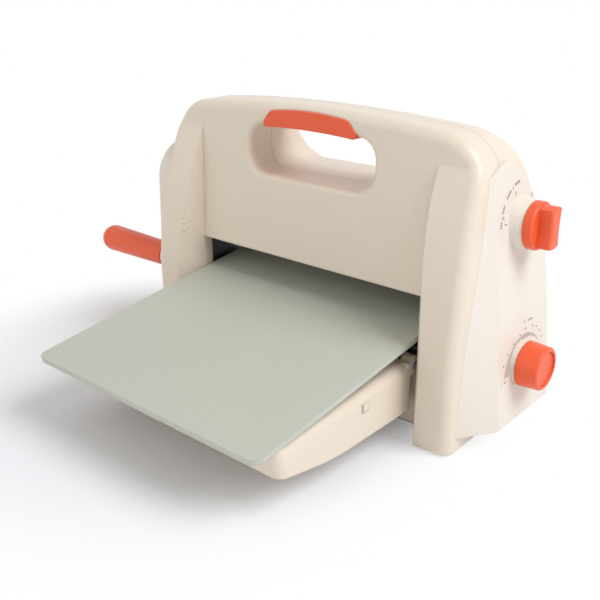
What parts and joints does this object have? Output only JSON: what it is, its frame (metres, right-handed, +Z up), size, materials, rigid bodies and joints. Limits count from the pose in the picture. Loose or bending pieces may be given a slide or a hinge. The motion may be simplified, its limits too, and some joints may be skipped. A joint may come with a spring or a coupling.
{
  "type": "die cutting machine",
  "caption": "Hand-cranked tabletop die cutting machine in cream plastic, with orange control knobs, an orange-lined hand hole, a fold-out front tray and a carrier plate between rollers.",
  "frame": {"origin": "middle of the machine's footprint, on the underside of the rubber pad it stands on", "axes": "+X towards the knob side, -Y towards the front where the tray and plate come out, +Z up"},
  "size_m": [0.4714, 0.2977, 0.2355],
  "materials": {
    "casing": "satin cream",
    "cover": "satin off-white",
    "trim": "satin orange",
    "steel": "bare steel",
    "bush": "plain bronze",
    "gear": "dark nylon",
    "pad": "matt black",
    "plate": "satin grey-green"
  },
  "bodies": {
    "housing": {"front_shell": "casing", "rear_shell": "casing", "right_control_cover": "cover", "left_gear_cover": "cover", "grip_insert": "trim", "base_plate": "steel", "base_pad": "pad", "base_screws": "steel", "shell_screws": "steel", "left_frame_plate": "steel", "right_frame_plate": "steel", "tie_rods": "steel", "frame_screws": "steel", "upper_bearing_blocks": "steel", "upper_bushes": "bush", "crank_bushes": "bush", "pressure_flange": "cover", "mode_flange": "cover", "preload_springs": "steel", "tray_hinge_pins": "steel"},
    "lower_carriage": {"lower_bearing_blocks": "steel", "lower_bushes": "bush"},
    "lower_roller_set": {"lower_roller": "steel", "lower_roller_shaft": "steel", "lower_roller_gear": "gear"},
    "upper_roller_set": {"upper_roller": "steel", "upper_roller_shaft": "steel", "upper_roller_gear": "gear"},
    "crank": {"crank_shaft": "steel", "crank_pinion": "gear", "crank_arm": "cover", "grip_pin": "steel"},
    "grip": {"crank_grip": "trim"},
    "pressure_control": {"pressure_knob": "trim", "pressure_shaft": "steel", "pressure_gear": "gear"},
    "cam_set": {"cam_shaft": "steel", "cam_gear": "gear", "roller_cams": "steel"},
    "mode_control": {"mode_knob": "trim", "mode_shaft": "steel", "mode_cam": "steel"},
    "preload": {"preload_bar": "steel"},
    "tray": {"front_tray": "casing"},
    "plate": {"carrier_plate": "plate"}
  },
  "joints": [
    {"name": "pressure_turn", "type": "hinge", "parent": "housing", "child": "pressure_control", "pos_m": [0, 0.006, 0.0575], "axis": [1, 0, 0], "range_deg": [0, 180]},
    {"name": "cam_turn", "type": "hinge", "parent": "housing", "child": "cam_set", "pos_m": [0, 0, 0.03118], "axis": [1, 0, 0], "range_deg": [-180, 0]},
    {"name": "carriage_lift", "type": "slide", "parent": "housing", "child": "lower_carriage", "axis": [0, 0, 1], "range_m": [-0.0015, 0]},
    {"name": "lower_roller_spin", "type": "hinge", "parent": "lower_carriage", "child": "lower_roller_set", "pos_m": [0, 0, 0.0675], "axis": [1, 0, 0], "continuous": true},
    {"name": "upper_roller_spin", "type": "hinge", "parent": "housing", "child": "upper_roller_set", "pos_m": [0, 0, 0.1225], "axis": [1, 0, 0], "continuous": true},
    {"name": "crank_turn", "type": "hinge", "parent": "housing", "child": "crank", "pos_m": [0, 0.0124, 0.16576], "axis": [1, 0, 0], "continuous": true},
    {"name": "grip_spin", "type": "hinge", "parent": "crank", "child": "grip", "pos_m": [0, -0.03, 0.074], "axis": [1, 0, 0], "continuous": true},
    {"name": "mode_turn", "type": "hinge", "parent": "housing", "child": "mode_control", "pos_m": [0, 0.006, 0.1635], "axis": [1, 0, 0], "range_deg": [0, 120]},
    {"name": "preload_lift", "type": "slide", "parent": "housing", "child": "preload", "axis": [0, 0, 1], "range_m": [0, 0.0012], "deforming": ["preload_springs"]},
    {"name": "tray_hinge", "type": "hinge", "parent": "housing", "child": "tray", "pos_m": [0, -0.054, 0.06], "axis": [-1, 0, 0], "range_deg": [0, 0.6]},
    {"name": "plate_slide", "type": "slide", "parent": "housing", "child": "plate", "axis": [0, 0.9903, 0.1392], "range_m": [-0.12, 0.17]}
  ],
  "couplings": [
    {"joint": "pressure_turn", "follows": "carriage_lift", "rad_per_m": -2094.4},
    {"joint": "cam_turn", "follows": "carriage_lift", "rad_per_m": 2094.4},
    {"joint": "upper_roller_spin", "follows": "lower_roller_spin", "ratio": -1},
    {"joint": "crank_turn", "follows": "lower_roller_spin", "ratio": 1.5714},
    {"joint": "mode_turn", "follows": "preload_lift", "rad_per_m": 1745.3}
  ]
}
